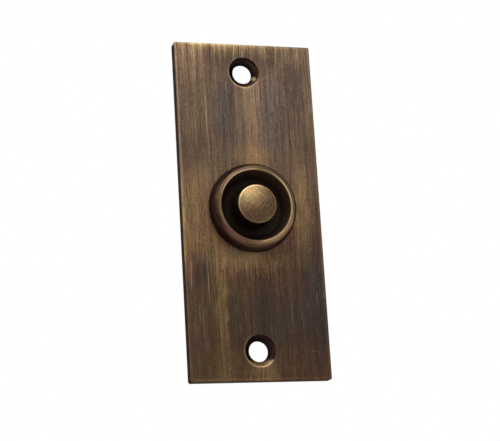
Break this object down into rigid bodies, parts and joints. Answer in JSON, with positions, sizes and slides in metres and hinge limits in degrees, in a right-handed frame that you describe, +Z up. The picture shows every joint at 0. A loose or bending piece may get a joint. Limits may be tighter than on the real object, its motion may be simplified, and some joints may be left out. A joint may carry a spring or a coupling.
{
  "type": "doorbell push button",
  "caption": "Rectangular aged-brass bell push with a raised round bezel, a sprung button in a dished well, countersunk fixing holes and a screw-terminal contact block behind.",
  "frame": {"origin": "centre of the plate's back face, midway between the two fixing holes, on the wall surface", "axes": "+Z up the plate, -Y out of the wall towards the visitor, +Y into the wall, +X to the right seen from the front"},
  "size_m": [0.0318, 0.0195, 0.0762],
  "materials": {
    "aged_brass_plate": "brushed brass under dark antique oxide",
    "aged_brass_button": "antique brass, finely brushed and rubbed back",
    "black_phenolic": "moulded, semi-gloss",
    "phosphor_bronze": "rolled strip, lightly tarnished",
    "turned_brass": "turned, unlacquered",
    "contact_silver": "silver rivet face",
    "spring_steel": "drawn wire",
    "plated_steel": "zinc plated",
    "red_fibre": "vulcanised fibre sheet",
    "black_fibre": "vulcanised fibre sheet",
    "pale_insulator": "turned insulating bush"
  },
  "bodies": {
    "plate": {"face_plate": "aged_brass_plate", "return_spring": "spring_steel", "base_gasket": "black_fibre", "contact_base": "black_phenolic", "contact_strip_left": "phosphor_bronze", "contact_strip_right": "phosphor_bronze", "contact_point_left": "contact_silver", "contact_point_right": "contact_silver", "terminal_inserts": "turned_brass", "terminal_washers": "turned_brass", "terminal_screws": "turned_brass", "base_lock_washers": "plated_steel", "base_screws": "plated_steel"},
    "button": {"push_button": "aged_brass_button", "stop_washer": "red_fibre", "insulating_bush": "pale_insulator", "contact_disc": "phosphor_bronze", "spring_washer": "red_fibre"}
  },
  "joints": [
    {"name": "button_press", "type": "slide", "parent": "plate", "child": "button", "axis": [0, 1, 0], "range_m": [0, 0.0018], "stiffness_N_per_m": 1400, "springref_m": -0.0011, "deforming": ["return_spring"]}
  ]
}
